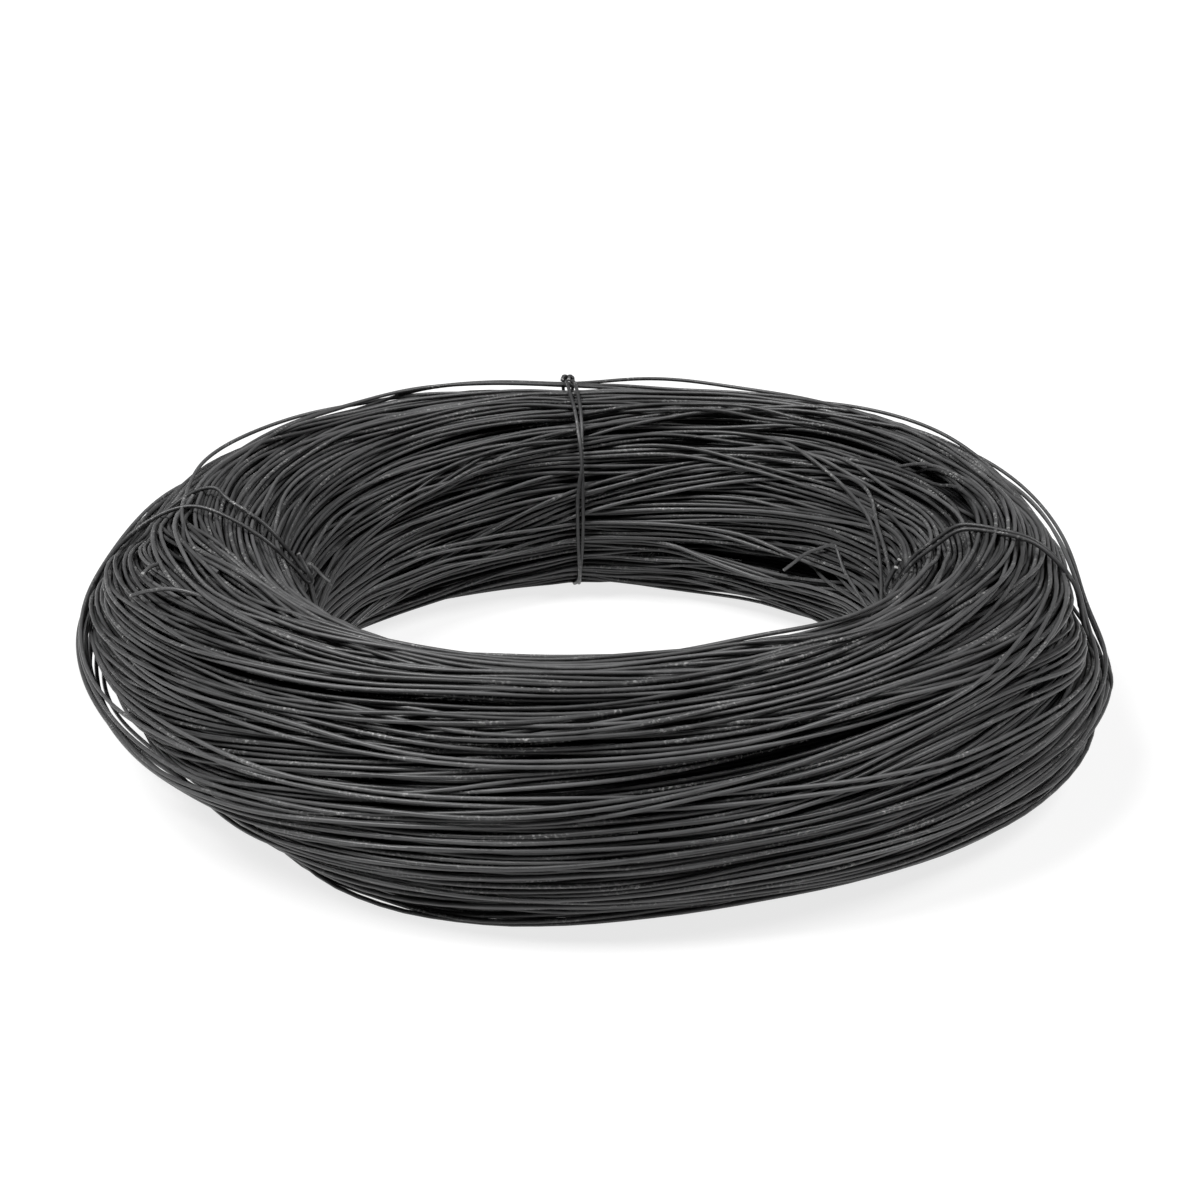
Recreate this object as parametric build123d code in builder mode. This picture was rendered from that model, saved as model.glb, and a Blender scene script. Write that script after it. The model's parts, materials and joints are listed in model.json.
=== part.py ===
"""Coil of annealed steel wire, lying flat, with three wire ties.

The coil is one long wire wound into a ring, shown as one turned solid: an egg-shaped section, blunt at
the foot, with a straight bore wall, and ridges round it for the turns. Three doubled tie wires hold the
turns. Each tie is one wire that goes twice round the section, in a waist that it has pressed into the
turns, with its fold drawn up into an eye and its two ends hooked back through that eye.

Frame: millimetres, +Z up the axis of the coil, the origin on the floor at the centre of the bore.
"""

import os
from collections import namedtuple
from math import asin, cos, degrees, radians, sin

from build123d import *

# The wire and the coil, whose crown is half an ellipse
wire_diameter = 1.6
coil_outer_diameter = 400.0
bore_diameter = 224.0
coil_height = 88.0
crown_height = 52.0
outer_foot_radius = 35.0
inner_foot_radius = 26.0

# The turns, which show as ridges of several wires each, flat over their middle
wires_per_ridge = 10
ridge_height = 2.4
ridge_crest_share = 0.5

# The waists, which run straight between a few bends at each corner of the section
waist_depth = 3.6
waist_bend_count = 3

# The ties, whose wire has flat sides and straight runs so that its bends stay light
tie_wire_diameter = 1.6
tie_wire_side_count = 8
tie_bend_count = 3
tie_end_gap = 0.3
tie_seat_clearance = 0.3
tie_side_clearance = 0.4
tie_hook_clearance = 0.15
tie_end_length = 11.0

Foot = namedtuple("Foot", "width height")
Tie = namedtuple("Tie", "name azimuth knot_inside")
ties = [
    Tie("tie_left", 179.0, True),
    Tie("tie_back", 94.0, False),
    Tie("tie_right", 346.0, True),
]

# What follows from them, where a foot is a quarter circle, or lower to leave a little wall above it
coil_radius = coil_outer_diameter / 2
bore_radius = bore_diameter / 2
half_width = (coil_radius - bore_radius) / 2
section_middle = bore_radius + half_width
crown_foot = coil_height - crown_height
least_wall = wire_diameter / 2
inner_foot = Foot(inner_foot_radius, min(inner_foot_radius, crown_foot - least_wall))
outer_foot = Foot(outer_foot_radius, min(outer_foot_radius, crown_foot - least_wall))
ridge_pitch = wires_per_ridge * wire_diameter
tie_radius = tie_wire_diameter / 2
tie_inset = waist_depth - tie_seat_clearance - tie_radius
hook_radius = tie_wire_diameter + tie_hook_clearance
end_side = (tie_wire_diameter + tie_end_gap) / 2
strand_side = end_side + hook_radius
waist_angle = 2 * degrees(asin((strand_side + tie_radius + tie_side_clearance) / bore_radius))


def radial_plane(azimuth):
    """The plane through the coil's axis at an azimuth: its X is outwards and its Y is up."""
    outwards = (cos(radians(azimuth)), sin(radians(azimuth)), 0)
    sideways = (sin(radians(azimuth)), -cos(radians(azimuth)), 0)
    return Plane(origin=(0, 0, 0), x_dir=outwards, z_dir=sideways)


def ridge_points(run):
    """The corners of the ridges along a run of the outline, with valleys between the ridges.

    The run goes clockwise round the section, so that its right-hand side is the inside.
    """
    count = max(1, round(run.length / ridge_pitch))
    points = [run @ 0]
    for turn in range(count):
        for share in (0.5 - ridge_crest_share / 2, 0.5 + ridge_crest_share / 2):
            points.append(run @ ((turn + share) / count))
        if turn < count - 1:
            valley = (turn + 1) / count
            points.append(run @ valley + (run % valley).rotate(Axis.Z, -90) * ridge_height)
    return points + [run @ 1]


def coil_outline():
    """The corners of the coil's section: the ridged crown and outer side, the foot, and the bore wall."""
    with BuildLine() as upper:
        EllipticalCenterArc((section_middle, crown_foot), half_width, crown_height, 180, arc_size=-180)
        Line((coil_radius, crown_foot), (coil_radius, outer_foot.height))
        EllipticalCenterArc((coil_radius - outer_foot.width, outer_foot.height), *outer_foot, 0, arc_size=-90)
    with BuildLine() as lower:
        EllipticalCenterArc((bore_radius + inner_foot.width, inner_foot.height), *inner_foot, 270, arc_size=-90)
    return ridge_points(upper.wires()[0]) + ridge_points(lower.wires()[0])


def bend(centre, start, end, count):
    """The corners of a quarter turn made of straight runs, from centre + start to centre + end.

    The runs touch the round turn, and the first and the last follow on from what they meet.
    """
    corners = []
    for corner in range(count):
        angle = radians((corner + 0.5) * 90 / count)
        corners.append(centre + (start * cos(angle) + end * sin(angle)) / cos(radians(45 / count)))
    return corners


def waist_corners(inset, near=inner_foot, far=outer_foot):
    """The corners of the section as a waist has it, drawn in by an inset, clockwise from the near wall's top.

    The near side is the bore side. With the feet exchanged, it is the section seen in a mirror.
    """
    crown = Vector(section_middle, crown_foot)
    far_foot = Vector(coil_radius - far.width, far.height)
    near_foot = Vector(bore_radius + near.width, near.height)
    across, up = Vector(half_width - inset, 0), Vector(0, crown_height - inset)
    far_across, far_down = Vector(far.width - inset, 0), Vector(0, inset - far.height)
    near_across, near_down = Vector(near.width - inset, 0), Vector(0, inset - near.height)
    return [
        *bend(crown, -across, up, waist_bend_count),
        *bend(crown, up, across, waist_bend_count),
        *bend(far_foot, far_across, far_down, waist_bend_count),
        *bend(near_foot, near_down, -near_across, waist_bend_count),
    ]


def half_tie(hand, knot_inside):
    """Half of a tie's route, from the tip of one end to the fold, in section coordinates.

    The third coordinate is the side, on the left or the right of the tie's middle plane by hand. The
    knot is halfway along the second straight of the crown's near side. Where the knot is outside, the
    near side is the outer one, in the mirrored section.
    """
    feet = (inner_foot, outer_foot) if knot_inside else (outer_foot, inner_foot)
    end, strand = Vector(0, 0, hand * end_side), Vector(0, 0, hand * strand_side)
    below, above, *rest = waist_corners(tie_inset, *feet)
    knot = (above + below) / 2
    along = (above - below).normalized() * hook_radius
    out = along.rotate(Axis.Z, 90)
    hook = knot + out + end
    return [
        hook + out + along.normalized() * tie_end_length,
        *bend(hook, out, -along, tie_bend_count),
        *bend(hook, -along, -out, tie_bend_count),
        above + end,
        *(corner + strand for corner in (*rest, below)),
        *bend(hook - along, strand - end, along, tie_bend_count),
    ]


def tie_route(tie):
    """A tie's whole route in the coil's frame, from tip to tip."""
    plane = radial_plane(tie.azimuth)
    route = []
    for corner in half_tie(-1, tie.knot_inside) + half_tie(1, tie.knot_inside)[::-1]:
        across = corner.X if tie.knot_inside else 2 * section_middle - corner.X
        route.append(plane.from_local_coords((across, corner.Y, corner.Z)))
    return route


os.makedirs("parts", exist_ok=True)

with BuildPart() as wire_coil:
    with BuildSketch(Plane.XZ):
        with BuildLine():
            Polyline(*coil_outline(), close=True)
        make_face()
    revolve(axis=Axis.Z)
    for tie in ties:
        with BuildSketch(radial_plane(tie.azimuth - waist_angle / 2)):
            with Locations((section_middle, coil_height / 2)):
                Rectangle(2 * (half_width + waist_depth), coil_height + 2 * waist_depth)
            Polygon(*waist_corners(waist_depth), align=None, mode=Mode.SUBTRACT)
        revolve(axis=Axis.Z, revolution_arc=waist_angle, mode=Mode.SUBTRACT)
wire_coil.part.label = "wire_coil"
export_step(wire_coil.part, "parts/wire_coil.step")

for tie in ties:
    with BuildPart() as tie_wire:
        with BuildLine() as path:
            Polyline(*tie_route(tie))
        with BuildSketch(Plane(path.line @ 0, z_dir=path.line % 0)):
            RegularPolygon(tie_radius, tie_wire_side_count)
        sweep(transition=Transition.RIGHT)
    tie_wire.part.label = tie.name
    export_step(tie_wire.part, f"parts/{tie.name}.step")
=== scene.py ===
"""Looks of the coil of annealed steel wire: its turns, its ties, its finishes, and the studio around it.

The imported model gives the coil's size and place. The turns are laid one by one on an unrolled bed, each
wire resting on the wires under it, and Geometry Nodes then give every path its round wire.
"""

import json
import logging
import math
from dataclasses import dataclass, field
from enum import Enum

import bpy
import numpy as np
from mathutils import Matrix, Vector


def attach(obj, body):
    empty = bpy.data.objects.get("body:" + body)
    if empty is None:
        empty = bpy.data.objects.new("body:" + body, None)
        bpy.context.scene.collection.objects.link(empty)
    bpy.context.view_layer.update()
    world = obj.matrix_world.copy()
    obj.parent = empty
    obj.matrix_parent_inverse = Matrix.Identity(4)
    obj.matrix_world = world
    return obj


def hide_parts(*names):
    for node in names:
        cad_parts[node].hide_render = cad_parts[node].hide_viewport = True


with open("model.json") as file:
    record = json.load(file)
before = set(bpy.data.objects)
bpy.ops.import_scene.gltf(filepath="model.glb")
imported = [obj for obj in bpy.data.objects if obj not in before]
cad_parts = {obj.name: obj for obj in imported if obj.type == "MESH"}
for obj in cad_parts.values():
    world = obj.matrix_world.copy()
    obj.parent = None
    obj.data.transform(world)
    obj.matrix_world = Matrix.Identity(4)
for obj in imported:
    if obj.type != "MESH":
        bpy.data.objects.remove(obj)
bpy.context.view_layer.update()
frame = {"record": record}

log = logging.getLogger("wire_coil")

# What an input of a shader node may get
Feed = bpy.types.NodeSocket | float | tuple[float, ...]

METRES_PER_MM = 0.001
RIGHT_ANGLE = 90
HALF_TURN = 180
FULL_TURN = 360
EVEN_CHANCE = 0.5
SMOOTHING_REACH = 3
NOWHERE = -1e9
BODY = "root"
BORE_MOUNT = "bore"


class Slot(Enum):
    """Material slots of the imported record."""

    WIRE = "annealed_wire"
    TIE = "tie_wire"


def new_object(name: str, data: bpy.types.ID) -> bpy.types.Object:
    """Put a new object into the scene.

    Args:
        name: Name of the object.
        data: Its mesh, light or camera.

    Returns:
        The object.
    """
    thing = bpy.data.objects.new(name, data)
    bpy.context.scene.collection.objects.link(thing)
    return thing


def smooth(values: np.ndarray, sigma: float) -> np.ndarray:
    """Smooth values along a path, which keeps its ends.

    Args:
        values: One value for each step of the path.
        sigma: Width of the smoothing, in steps.

    Returns:
        The smoothed values.
    """
    reach = int(SMOOTHING_REACH * sigma) + 1
    weights = np.exp(-0.5 * (np.arange(-reach, reach + 1) / sigma) ** 2)
    padded = np.pad(values, reach, mode="edge")
    return np.convolve(padded, weights / weights.sum(), mode="valid")


def highest_near(values: np.ndarray, reach: int) -> np.ndarray:
    """Give each step of a path the highest value within reach of it.

    Args:
        values: One value for each step of the path.
        reach: Number of steps to look at on each side.

    Returns:
        The highest value near each step.
    """
    padded = np.pad(values, reach, mode="edge")
    return np.lib.stride_tricks.sliding_window_view(padded, 2 * reach + 1).max(axis=-1)


def runs_of(flags: np.ndarray) -> list[slice]:
    """Find the unbroken runs of steps where a flag holds.

    Args:
        flags: One flag for each step of the path.

    Returns:
        The runs, in order.
    """
    edges = np.flatnonzero(np.diff(np.concatenate([[0], flags.astype(int), [0]])))
    return [slice(first, last) for first, last in zip(edges[::2], edges[1::2])]


def degrees_from(azimuth: np.ndarray, middle: float) -> np.ndarray:
    """Give how far azimuths lie from a middle one, the shorter way round, in degrees."""
    return (azimuth - middle + HALF_TURN) % FULL_TURN - HALF_TURN


def flowing(where: np.ndarray, knots: list[tuple[float, float]]) -> np.ndarray:
    """Run a smooth line through a few knots.

    Args:
        where: Places to read the line at.
        knots: Pairs of place and value, in order.

    Returns:
        The value at each place.
    """
    at = np.array([knot[0] for knot in knots], float)
    value = np.array([knot[1] for knot in knots], float)
    if len(at) == 2:
        return np.interp(where, at, value)
    slope = np.gradient(value, at)
    span = np.diff(at)
    start = np.clip(np.searchsorted(at, where, side="right") - 1, 0, len(span) - 1)
    share = np.clip((where - at[start]) / span[start], 0, 1)
    rise, fall = slope[start] * span[start], slope[start + 1] * span[start]
    return (
        value[start] * (1 + 2 * share) * (1 - share) ** 2
        + value[start + 1] * share**2 * (3 - 2 * share)
        + rise * share * (1 - share) ** 2
        - fall * share**2 * (1 - share)
    )


@dataclass(frozen=True)
class CoilSection:
    """Outline of the coil's section, in millimetres.

    A place on it is a lane: the length from the middle of the base, up the bore wall, over the crown and
    down the outer side.
    """

    bore_radius: float
    outer_radius: float
    height: float
    crown_height: float = 52.0
    inner_foot_radius: float = 26.0
    outer_foot_radius: float = 35.0
    cell_count: int = 1440
    foot_points: int = 181
    crown_points: int = 721
    slope_cells: int = 12

    @classmethod
    def packed(cls) -> "CoilSection":
        """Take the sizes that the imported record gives.

        Returns:
            The section, with the radius that the bore's mount states and the box in whole millimetres.
        """
        record = frame["record"]
        mounts = {mount["name"]: mount for mount in record["mounts"]}
        width, _, height = (side / METRES_PER_MM for side in record["size"]["bbox_m"])
        return cls(mounts[BORE_MOUNT]["dims"]["r_mm"], round(width / 2), round(height))

    def corners(self) -> np.ndarray:
        """Give points along the outline.

        Returns:
            The points in the order of the lanes, each with its radius and its height.
        """
        half_width = (self.outer_radius - self.bore_radius) / 2
        middle = self.bore_radius + half_width
        crown_foot = self.height - self.crown_height
        inner, outer = self.inner_foot_radius, self.outer_foot_radius
        quarter = np.radians(np.linspace(0, RIGHT_ANGLE, self.foot_points))
        turn = np.radians(np.linspace(HALF_TURN, 0, self.crown_points))
        inner_foot = np.stack(
            [self.bore_radius + inner - inner * np.sin(quarter), inner - inner * np.cos(quarter)], -1
        )
        crown = np.stack(
            [middle + half_width * np.cos(turn), crown_foot + self.crown_height * np.sin(turn)], -1
        )
        outer_foot = np.stack(
            [self.outer_radius - outer + outer * np.cos(quarter), outer - outer * np.sin(quarter)], -1
        )
        ends = np.array([[middle, 0.0]])
        return np.concatenate([ends, inner_foot, crown, outer_foot, ends])

    def unrolled(self) -> tuple[np.ndarray, np.ndarray, float]:
        """Measure the outline at even steps.

        Returns:
            The points, the outward directions, and the whole length of the outline.
        """
        points = self.corners()
        steps = np.hypot(*np.diff(points, axis=0).T)
        lanes = np.concatenate([[0.0], np.cumsum(steps)])
        girth = float(lanes[-1])
        even = np.arange(self.cell_count) * girth / self.cell_count
        places = np.stack([np.interp(even, lanes, points[:, axis]) for axis in (0, 1)], -1)
        along = np.roll(places, -self.slope_cells, axis=0) - np.roll(places, self.slope_cells, axis=0)
        along /= np.hypot(*along.T)[:, None]
        return places, np.stack([-along[:, 1], along[:, 0]], -1), girth


@dataclass(frozen=True)
class Hollow:
    """Gap between bundles: its course as azimuths, lanes and half widths."""

    course: tuple[tuple[float, float, float], ...]
    depth: float = 4.0
    reach: float = 9.0

    def at(self, azimuth: np.ndarray) -> tuple[np.ndarray, np.ndarray]:
        """Read the hollow at some azimuths.

        Args:
            azimuth: Azimuths in degrees.

        Returns:
            Its lane and its half width at each azimuth, with no width before and after its course.
        """
        places = [knot[0] for knot in self.course]
        lane = flowing(azimuth, [(knot[0], knot[1]) for knot in self.course])
        width = np.interp(azimuth, places, [knot[2] for knot in self.course], left=0, right=0)
        return lane, width


@dataclass(frozen=True)
class Waist:
    """Place where a tie has pressed the turns in."""

    azimuth: float
    depth: float = 1.6
    half_width: float = 15.0


@dataclass(frozen=True)
class Swell:
    """Place where the coil's outline stands out, or in if its height is negative."""

    azimuth: float
    lane: float
    length: float
    width: float
    height: float


@dataclass
class Bed:
    """Unrolled surface that the wires are laid on, with the height at which the next wire would rest.

    A path is told by its steps, which run on round the coil, and by its lane at each step. Softness is how
    gently the stiff wire bends, in steps.
    """

    section: CoilSection
    wire_radius: float
    columns: int = 720
    slip_tries: int = 14
    slip_share: float = 0.4
    slip_softness: float = 14.0
    slip_end_softness: float = 10.0
    touch_share: float = 0.45
    nestling: float = 0.15
    bridge: int = 5
    lay_softness: float = 7.0

    def __post_init__(self) -> None:
        """Start with a flat bed at the outline."""
        self.places, self.outwards, self.girth = self.section.unrolled()
        self.cells = self.section.cell_count
        self.cell = self.girth / self.cells
        self.lanes = np.arange(self.cells) * self.cell
        self.azimuths = np.arange(self.columns) * FULL_TURN / self.columns
        self.rest = np.zeros((self.columns, self.cells))

    def offset(self, lane: np.ndarray, from_lane: np.ndarray | float) -> np.ndarray:
        """Give how far lanes lie from another, the shorter way round the section."""
        return (lane - from_lane + self.girth / 2) % self.girth - self.girth / 2

    def cell_of(self, lane: np.ndarray) -> tuple[np.ndarray, np.ndarray]:
        """Find the cells that lanes lie in.

        Args:
            lane: The lanes.

        Returns:
            The cell of each lane, and how far on towards the next cell it lies, from 0 to 1.
        """
        place = (lane / self.cell) % self.cells
        cell = np.floor(place).astype(int)
        return cell % self.cells, place - cell

    def column_of(self, azimuth: np.ndarray) -> np.ndarray:
        """Find the column of the bed that each azimuth lies in."""
        return np.round(azimuth * self.columns / FULL_TURN).astype(int) % self.columns

    def height_at(self, steps: np.ndarray, lane: np.ndarray) -> np.ndarray:
        """Read the rest height along a path.

        Args:
            steps: Steps of the path.
            lane: Lane at each step.

        Returns:
            The height above the outline at each step, in millimetres.
        """
        low, share = self.cell_of(lane)
        column = steps % self.columns
        return self.rest[column, low] * (1 - share) + self.rest[column, (low + 1) % self.cells] * share

    def slip(self, steps: np.ndarray, lane: np.ndarray, limit: float) -> np.ndarray:
        """Let a wire slip sideways into the nearest hollow.

        Args:
            steps: Steps of the path.
            lane: Lane at each step.
            limit: How far it may slip, in millimetres.

        Returns:
            The new lane at each step.
        """
        reach = self.wire_radius
        shift = np.zeros(len(lane))
        for _ in range(self.slip_tries):
            slope = self.height_at(steps, lane + shift + reach) - self.height_at(steps, lane + shift - reach)
            shift = np.clip(shift - self.slip_share * smooth(slope, self.slip_softness), -limit, limit)
        return lane + smooth(shift, self.slip_end_softness)

    def settle(self, steps: np.ndarray, lane: np.ndarray) -> np.ndarray:
        """Give the height at which a stiff wire lies along a path.

        Args:
            steps: Steps of the path.
            lane: Lane at each step.

        Returns:
            The height at each step.
        """
        side = self.touch_share * self.wire_radius
        touch = np.maximum(self.height_at(steps, lane - side), self.height_at(steps, lane + side))
        touch = np.maximum(touch - self.nestling, self.height_at(steps, lane))
        return smooth(highest_near(touch, self.bridge), self.lay_softness)

    def drape(self, azimuth: np.ndarray, lane: np.ndarray, reach: int, softness: float) -> np.ndarray:
        """Give the height at which a wire lies over the pile along any route.

        Args:
            azimuth: Azimuth at each point, in degrees.
            lane: Lane at each point.
            reach: Number of points that the wire bridges on each side.
            softness: How gently it bends, in points.

        Returns:
            The height at each point.
        """
        touch = self.height_at(self.column_of(azimuth), lane)
        return smooth(highest_near(touch, reach), softness)

    def lay(self, steps: np.ndarray, lane: np.ndarray, height: np.ndarray) -> None:
        """Add a wire to the bed, so that the next one rests on it.

        Args:
            steps: Steps of the wire.
            lane: Lane at each step.
            height: Height at each step.
        """
        reach = 2 * self.wire_radius
        span = int(reach / self.cell) + 1
        middle = np.round(lane / self.cell).astype(int)
        cells = middle[:, None] + np.arange(-span, span + 1)[None, :]
        across = cells * self.cell - lane[:, None]
        crest = height[:, None] + np.sqrt(np.clip(reach**2 - across**2, 0, None))
        crest[np.abs(across) >= reach] = NOWHERE
        rows = (steps % self.columns)[:, None]
        cells %= self.cells
        for first in range(0, len(steps), self.columns):
            part = slice(first, first + self.columns)
            here = (rows[part], cells[part])
            self.rest[here] = np.maximum(self.rest[here], crest[part])


@dataclass
class Wire:
    """One laid wire, told by its steps."""

    steps: np.ndarray
    lane: np.ndarray
    height: np.ndarray


@dataclass
class FreeWire:
    """One laid stray, told by its azimuths in degrees."""

    azimuth: np.ndarray
    lane: np.ndarray
    height: np.ndarray
    cut_ends: tuple[bool, bool]


@dataclass
class WirePath:
    """Path of one wire that is to be seen, in millimetres, with what its finish needs to know.

    The tone is how light the wire is, from 0 to 1, and the depth of each point tells how deep in the coil it
    is, from 0 to 1, which the finish turns into painted shade on the deeper wires. A cut end shows bare
    steel.
    """

    points: np.ndarray
    tone: float
    shade_depths: np.ndarray
    cut_ends: tuple[bool, bool] = (False, False)

    def run(self) -> np.ndarray:
        """Give the length of the path up to each point, in millimetres."""
        steps = np.linalg.norm(np.diff(self.points, axis=0), axis=1)
        return np.concatenate([[0.0], np.cumsum(steps)])

    def cuts(self) -> np.ndarray:
        """Mark the path's cut ends.

        Returns:
            1 at a cut end, and 0 at every other point.
        """
        marks = np.zeros(len(self.points))
        marks[[0, -1]] = self.cut_ends
        return marks


def route_points(knots: np.ndarray, scale: tuple[float, float, float], spacing: float) -> np.ndarray:
    """Give even points along a smooth route through knots.

    Args:
        knots: The knots, one row each.
        scale: Length of one unit of each column, in millimetres.
        spacing: Distance between the points, in millimetres.

    Returns:
        The points, one row each, in the knots' own units.
    """
    steps = np.linalg.norm(np.diff(knots * np.array(scale), axis=0), axis=1)
    along = np.concatenate([[0.0], np.cumsum(steps)])
    where = np.linspace(0, along[-1], max(2, int(along[-1] / spacing)))
    return np.stack([flowing(where, list(zip(along, column))) for column in knots.T], -1)


@dataclass(frozen=True)
class Guide:
    """Bundle that is seen in one place: its course as azimuths and lanes, and its count of wires.

    A late one is laid over the crossing bundles, the others under them.
    """

    course: tuple[tuple[float, float], ...]
    count: int
    spacing: float = 1.7
    late: bool = False


@dataclass(frozen=True)
class Stray:
    """Single wire that stands off the coil for a while, as azimuths, lanes and lifts.

    An end with no lift goes on into the coil, one with a lift is a cut one that shows, and one that is
    lowered starts between the turns.
    """

    course: tuple[tuple[float, float, float], ...]


STRAYS = (
    Stray(((50, 146, 0), (62, 153, 2.4), (76, 157, 4.2), (92, 157, 2.4), (106, 156, 4.2), (122, 154, 2.6),
           (142, 148, 0))),
    Stray(((46, 144, 0), (60, 150, 1.2), (84, 154, 1.6), (94, 155, 2.0), (106, 155, 3.4), (122, 156, 3.0),
           (138, 159, 1.6), (152, 158, 0))),
    Stray(((80, 150, 0), (94, 155, 1.8), (107, 157, 3.6), (120, 157, 2.4), (134, 154, 0))),
    Stray(((112, 154, 0), (130, 160, 1.4), (145, 164, 2.8), (158, 162, 1.8), (174, 152, 0))),
    Stray(((20, 172, 0), (34, 165, 3.0), (48, 160, 2.6), (62, 156, 0))),
    Stray(((-24, 216, 0), (-12, 208, 4.6), (-2, 199, 9.0), (10, 187, 6.6), (26, 174, 0))),
    Stray(((-26, 208, 0), (-14, 203, 2.6), (-5, 195, 6.6), (6, 184, 4.6), (20, 172, 0))),
    Stray(((-18, 228, 0), (-8, 219, 4.0), (2, 208, 8.4), (14, 196, 5.6), (30, 184, 0))),
    Stray(((-30, 224, 0), (-18, 216, 1.2), (-8, 206, 2.6), (4, 196, 1.4), (16, 186, 0))),
    Stray(((172, 192, 0), (186, 202, 1.7), (196, 209, 4.3), (208, 214, 5.5), (220, 217, 2.7), (236, 214, 0))),
    Stray(((166, 188, 0), (182, 198, 1.6), (194, 205, 3.7), (206, 210, 4.1), (222, 208, 0))),
    Stray(((176, 204, 0), (190, 212, 3.3), (204, 219, 7.3), (218, 221, 5.2), (234, 217, 0))),
    Stray(((174, 200, 0), (188, 209, 3.2), (202, 217, 8.1), (216, 222, 6.0), (232, 220, 1.4), (246, 214, 0))),
    Stray(((180, 214, 0), (196, 221, 6.2), (210, 225, 7.6), (224, 224, 3.7), (240, 220, 0))),
    Stray(((178, 210, 0), (194, 219, 4.8), (208, 226, 7.0), (222, 228, 3.4), (238, 224, 0))),
    Stray(((182, 222, 0), (198, 228, 8.4), (212, 230, 8.3), (226, 228, 4.0), (242, 223, 0))),
    Stray(((184, 226, 0), (200, 232, 7.7), (214, 235, 6.0), (228, 234, 2.7), (244, 229, 0))),
    Stray(((180, 218, 0), (194, 226, 5.4), (208, 232, 7.6), (222, 236, 4.0), (238, 234, 0))),
    Stray(((186, 232, 0), (200, 238, 6.6), (212, 241, 6.0), (226, 240, 2.5), (240, 236, 0))),
    Stray(((188, 204, 0), (198, 215, 4.0), (207, 227, 7.4), (215, 237, 5.2), (226, 246, 0))),
    Stray(((176, 196, 0), (186, 206, 2.4), (198, 221, 6.4), (209, 235, 6.6), (221, 246, 0))),
    Stray(((262, 132, 0), (282, 127, 1.6), (298, 124, 3.0), (310, 122, 2.2), (324, 118, 0))),
    Stray(((236, 136, 0), (250, 132, 1.8), (262, 131, 2.0), (276, 133, 0))),
    Stray(((-8, 78, 0), (4, 88, 1.4), (18, 99, 2.0), (30, 104, 1.8), (44, 111, 1.2), (56, 117, 0))),
    Stray(((-6, 90, 0), (2, 93, 1.4), (14, 99, 1.6), (26, 108, 0))),
    Stray(((28, 84, -3), (33, 78, -0.6), (36, 74, 2.6), (39, 69, 3.6), (43, 63, 3.0))),
    Stray(((30, 82, -3), (24, 75, 0.8), (18, 72, 1.8), (13, 69, 0.8), (6, 64, -3))),
    Stray(((197, 159, -4), (199.5, 161, -1.2), (201, 163.5, 1.2), (202, 167, 2.0))),
    Stray(((214, 155, -4), (212, 159, -0.4), (210, 162.5, 1.4), (207.5, 168, 2.0), (205, 174, 1.8))),
)
HOLLOWS = (
    Hollow(((256, 196, 0.0), (270, 193, 1.4), (290, 187.5, 3.0), (303, 184, 2.6), (318, 180, 0.0))),
    Hollow(((246, 175, 0.0), (258, 175, 1.6), (270, 176, 0.0))),
    Hollow(((118, 92, 0.0), (142, 106, 2.4), (166, 128, 0.0))),
    Hollow(((4, 82, 0.0), (30, 66, 3.2), (45, 61, 4.2), (70, 56, 0.0)), 5.0),
    Hollow(((240, 224, 0.0), (254, 228, 2.2), (266, 230, 0.0)), 5.0),
)
WAISTS = (Waist(179.0), Waist(94.0), Waist(346.0))
SWELLS = (
    Swell(90, 158, 110, 28, -2.0),
    Swell(218, 252, 17, 28, -17.0),
    Swell(200, 236, 16, 26, -13.0),
    Swell(170, 172, 16, 26, -6.0),
    Swell(248, 131, 28, 17, -5.5),
    Swell(312, 127, 20, 16, -3.5),
    Swell(93, 160, 34, 26, -2.6),
    Swell(94, 42, 40, 20, -3.0),
    Swell(288, 256, 26, 26, -4.5),
    Swell(12, 178, 12, 26, -5.0),
    Swell(358, 204, 14, 26, -18.0),
    Swell(347, 221, 7, 12, 6.0),
)
GUIDES = (
    Guide(((180, 250), (198, 242), (214, 233), (231, 226), (248, 230), (266, 236), (285, 238), (307, 229),
           (330, 216)), 12),
    Guide(((184, 222), (205, 214), (221, 211), (242, 215), (262, 218), (284, 211), (307, 204),
           (332, 195)), 14),
    Guide(((188, 224), (208, 217), (232, 211), (252, 207), (270, 203), (288, 197), (303, 189), (318, 187),
           (336, 192)), 10),
    Guide(((184, 224), (208, 216), (233, 207), (250, 199), (271, 192), (285, 186), (300, 180), (318, 174),
           (335, 170)), 12),
    Guide(((182, 218), (202, 212), (221, 202), (238, 191), (256, 182), (270, 178), (285, 174),
           (300, 170)), 14),
    Guide(((180, 182), (200, 178), (217, 176), (230, 171), (248, 164), (268, 166), (285, 169), (305, 167),
           (330, 167)), 14),
    Guide(((186, 180), (207, 170), (231, 159), (254, 151), (268, 153), (282, 150), (300, 145), (318, 147),
           (340, 153)), 14),
    Guide(((164, 164), (176, 158), (188, 150), (200, 141), (214, 133), (236, 137), (253, 142), (270, 141),
           (288, 134), (306, 127), (326, 124)), 10),
    Guide(((6, 136), (20, 129), (35, 123.5), (50, 120.5), (65, 116), (80, 111.5),
           (95, 106)), 3, 1.9, late=True),
)


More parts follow.
